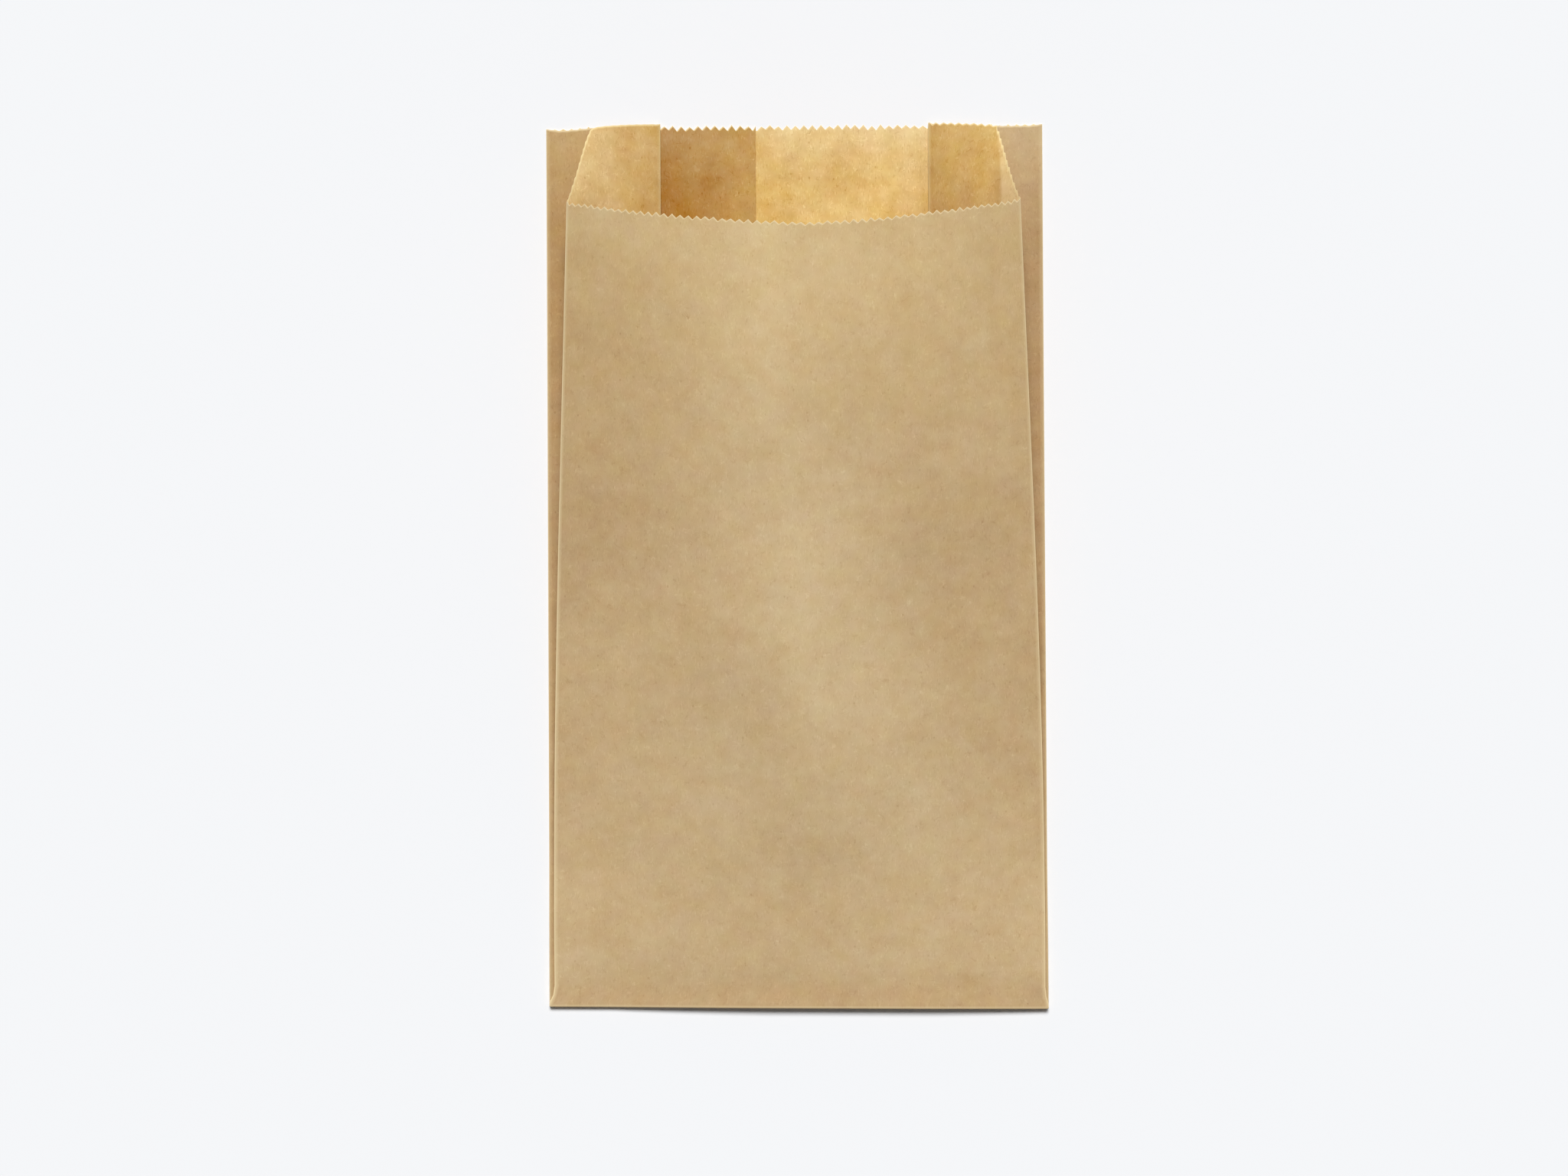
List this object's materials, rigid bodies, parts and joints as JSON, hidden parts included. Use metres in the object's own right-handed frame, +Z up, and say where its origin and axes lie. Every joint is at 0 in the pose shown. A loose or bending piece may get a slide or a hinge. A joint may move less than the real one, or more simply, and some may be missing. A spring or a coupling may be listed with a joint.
{
  "type": "paper pastry bag",
  "caption": "Plain kraft paper pastry bag with side gussets, a folded bottom and a pinked mouth, open and lying on its back.",
  "frame": {"origin": "on the surface that the bag lies on, under the middle of its box", "axes": "+X across the bag, +Y from the bottom fold to the mouth, +Z up through the front panel"},
  "size_m": [0.1526, 0.27, 0.048],
  "materials": {
    "kraft_paper": "matt unbleached kraft paper"
  },
  "bodies": {
    "root": {"folded_paper_bag": "kraft_paper"}
  },
  "joints": []
}
